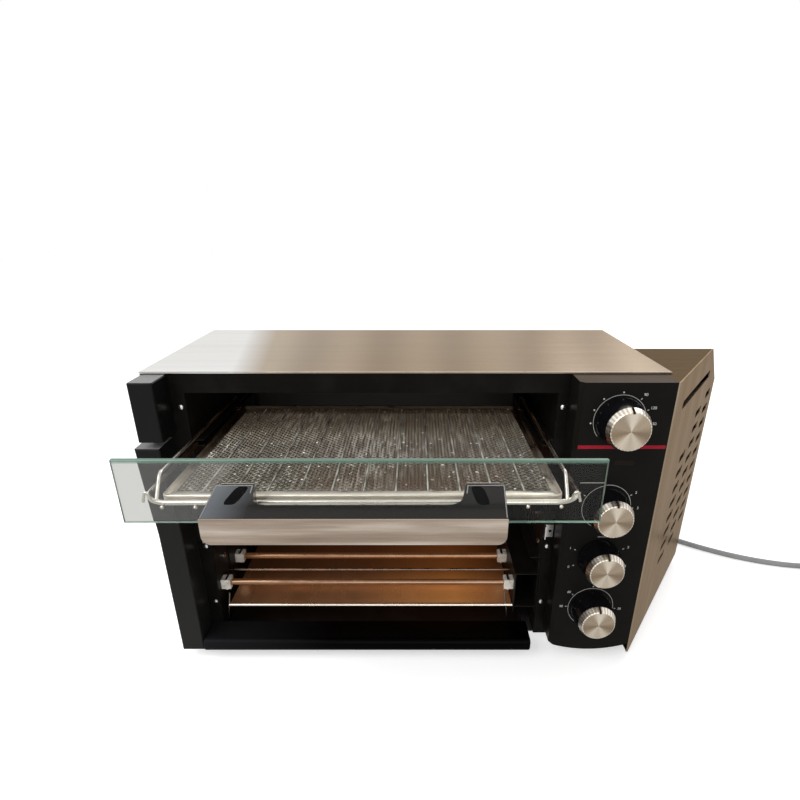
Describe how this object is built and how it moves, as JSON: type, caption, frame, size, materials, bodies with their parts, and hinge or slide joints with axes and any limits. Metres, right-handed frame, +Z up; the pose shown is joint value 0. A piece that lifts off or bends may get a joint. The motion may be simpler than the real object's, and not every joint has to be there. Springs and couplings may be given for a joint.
{
  "type": "air fryer oven",
  "caption": "Countertop air fryer oven with a glass-fronted pull-out wire rack drawer, turned control knobs, a vented side pod and a pull-out crumb tray.",
  "frame": {"origin": "on the table, under the middle of the oven's box as it stands with its drawer open, mains lead left out", "axes": "+X to the control side, +Y to the back, +Z up"},
  "size_m": [0.838, 0.431, 0.298],
  "materials": {
    "brushed_cover": "brushed, warm reflections",
    "dark_cover": "dark satin paint",
    "zinc_sheet": "plain zinc-plated sheet",
    "rubber_foot": "matt",
    "black_enamel": "semi-matt black enamel",
    "black_moulding": "fine matt moulded grain",
    "gloss_moulding": "polished black",
    "red_trim": "gloss red",
    "bright_fastener": "bright plated",
    "dark_liner": "dark non-stick enamel",
    "heater_sheath": "glowing metal sheath",
    "ceramic_block": "unglazed",
    "bright_sheet": "bright aluminised sheet",
    "motor_steel": "laminated steel",
    "fan_sheet": "stamped",
    "clear_glass": "clear, green at the edges",
    "satin_steel": "satin brushed",
    "bright_wire": "plated wire",
    "tray_steel": "dark mesh steel",
    "control_body": "moulded phenolic",
    "cord_rubber": "dark grey flexible sheath",
    "pin_brass": "plain"
  },
  "bodies": {
    "housing": {"top_cover": "brushed_cover", "left_side_panel": "brushed_cover", "right_side_panel": "brushed_cover", "pod_side_panel": "brushed_cover", "pod_top": "dark_cover", "pod_back": "dark_cover", "back_panel": "zinc_sheet", "base_plate": "zinc_sheet", "feet": "rubber_foot", "front_frame": "black_enamel", "left_post_upper": "black_moulding", "left_post_lower": "black_moulding", "control_fascia": "black_moulding", "red_stripe": "red_trim", "frame_screws": "bright_fastener", "catch_plate": "bright_fastener", "cavity_roof_and_back": "dark_liner", "cavity_left_wall": "dark_liner", "cavity_right_wall": "dark_liner", "side_rack_left": "dark_liner", "side_rack_right": "dark_liner", "upper_heaters": "heater_sheath", "lower_heaters": "heater_sheath", "heater_insulators": "ceramic_block", "heater_guard_rod": "bright_wire", "bottom_reflector": "bright_sheet", "fan_housing": "zinc_sheet", "fan_motor": "motor_steel", "cord_gland": "cord_rubber", "power_cord": "cord_rubber", "power_cord_coil": "cord_rubber", "mains_plug": "cord_rubber", "plug_pins": "pin_brass", "temperature_control": "control_body", "function_control": "control_body", "element_control": "control_body", "timer_control": "control_body"},
    "drawer": {"glass_front": "clear_glass", "handle_bar": "gloss_moulding", "handle_face": "satin_steel", "handle_bolts": "bright_fastener", "wire_rack": "bright_wire", "crisper_tray": "tray_steel"},
    "crumb_drawer": {"crumb_tray": "dark_liner", "crumb_tray_front": "black_moulding"},
    "fan_rotor": {"fan_shaft": "bright_fastener", "convection_fan": "fan_sheet", "cooling_fan": "fan_sheet"},
    "temperature_dial": {"temperature_knob": "gloss_moulding", "temperature_knob_cap": "satin_steel", "temperature_shaft": "bright_fastener"},
    "function_dial": {"function_knob": "gloss_moulding", "function_knob_cap": "satin_steel", "function_shaft": "bright_fastener"},
    "element_dial": {"element_knob": "gloss_moulding", "element_knob_cap": "satin_steel", "element_shaft": "bright_fastener"},
    "timer_dial": {"timer_knob": "gloss_moulding", "timer_knob_cap": "satin_steel", "timer_shaft": "bright_fastener"}
  },
  "joints": [
    {"name": "drawer_slide", "type": "slide", "parent": "housing", "child": "drawer", "axis": [0, -1, 0], "range_m": [-0.12, 0.03]},
    {"name": "crumb_tray_slide", "type": "slide", "parent": "housing", "child": "crumb_drawer", "axis": [0, -1, 0], "range_m": [0, 0.15]},
    {"name": "fan_spin", "type": "hinge", "parent": "housing", "child": "fan_rotor", "pos_m": [0.10828, 0.0375, 0.15], "axis": [1, 0, 0], "continuous": true},
    {"name": "temperature_turn", "type": "hinge", "parent": "housing", "child": "temperature_dial", "pos_m": [0.12328, -0.0745, 0.2635], "axis": [0, 1, 0], "range_deg": [0, 270]},
    {"name": "function_turn", "type": "hinge", "parent": "housing", "child": "function_dial", "pos_m": [0.12328, -0.0745, 0.18], "axis": [0, 1, 0], "range_deg": [0, 240]},
    {"name": "element_turn", "type": "hinge", "parent": "housing", "child": "element_dial", "pos_m": [0.12328, -0.0745, 0.126], "axis": [0, 1, 0], "range_deg": [0, 180]},
    {"name": "timer_turn", "type": "hinge", "parent": "housing", "child": "timer_dial", "pos_m": [0.12328, -0.0745, 0.0675], "axis": [0, 1, 0], "range_deg": [0, 300]}
  ]
}
